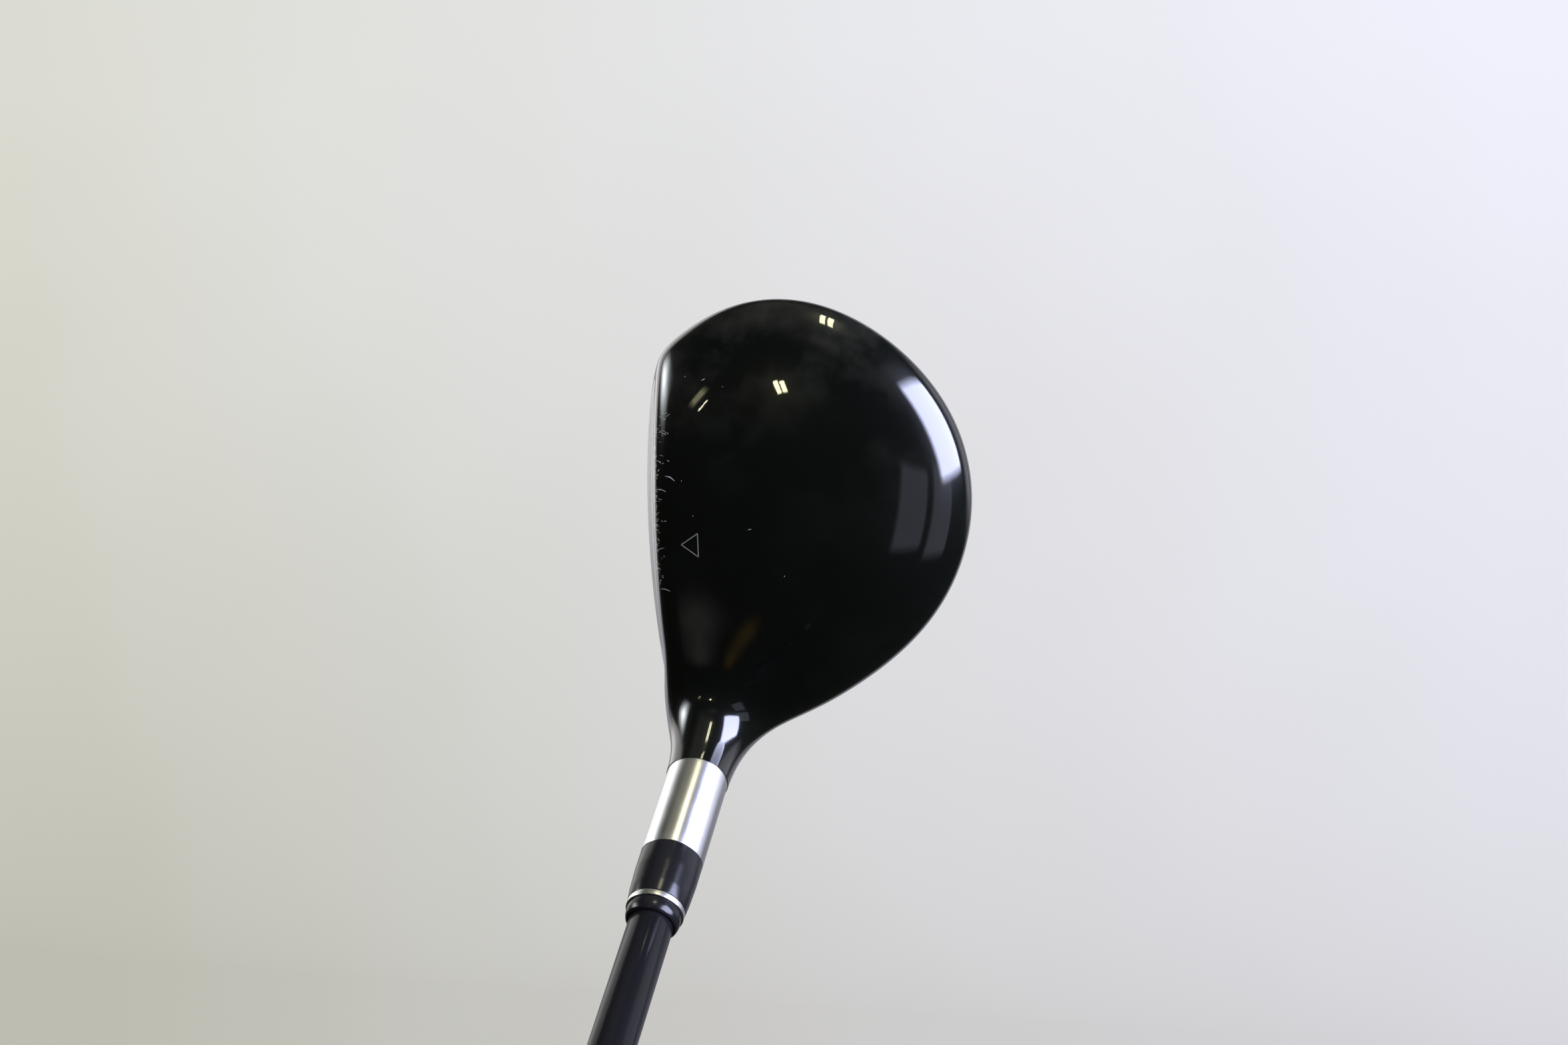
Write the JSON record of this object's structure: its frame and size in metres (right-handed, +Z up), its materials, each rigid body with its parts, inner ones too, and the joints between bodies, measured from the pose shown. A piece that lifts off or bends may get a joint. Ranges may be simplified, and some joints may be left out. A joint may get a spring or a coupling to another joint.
{
  "type": "fairway wood",
  "caption": "Right-handed golf club with a hollow steel wood head, lofted face, silver hosel, ferrule, graphite shaft and rubber grip.",
  "frame": {"origin": "the point of the sole that touches the ground with the club held at address", "axes": "+Z up, +Y toward the toe, +X toward the rear of the head; the face looks along -X and the shaft rises toward -Y at the lie angle"},
  "size_m": [0.0767, 0.6372, 0.9202],
  "materials": {
    "head_paint": "gloss black paint under clear coat on cast steel",
    "face_steel": "satin, vertical brushing, fine score lines",
    "sole_steel": "satin with bright rub marks",
    "badge": "plain gloss inlay",
    "weight_metal": "as cast",
    "hot_melt": "waxy hot melt",
    "hosel_steel": "fine satin brushing round the tube",
    "stop_plug": "moulded",
    "epoxy": "cured resin",
    "ferrule": "polished",
    "trim_ring": "polished",
    "shaft": "gloss clear coat over carbon fibre",
    "pin_brass": "turned",
    "label_film": "satin grey film without lettering",
    "trim_band": "satin",
    "tape": "double-sided tape",
    "grip_rubber": "moulded texture",
    "cap_rubber": "moulded"
  },
  "bodies": {
    "root": {"head_body": "head_paint", "crown_shell": "head_paint", "face_plate": "face_steel", "sole_plate": "sole_steel", "sole_badge": "badge", "sole_weight": "weight_metal", "hot_melt_pad": "hot_melt", "hosel_tube": "hosel_steel", "bore_stop_plug": "stop_plug", "epoxy_sleeve": "epoxy", "ferrule_body": "ferrule", "ferrule_trim_ring": "trim_ring", "ferrule_end_cap": "ferrule", "graphite_shaft": "shaft", "tip_weight_pin": "pin_brass", "shaft_label_film": "label_film", "shaft_trim_band": "trim_band", "grip_tape": "tape", "grip_sleeve": "grip_rubber", "grip_end_cap": "cap_rubber"}
  },
  "joints": []
}
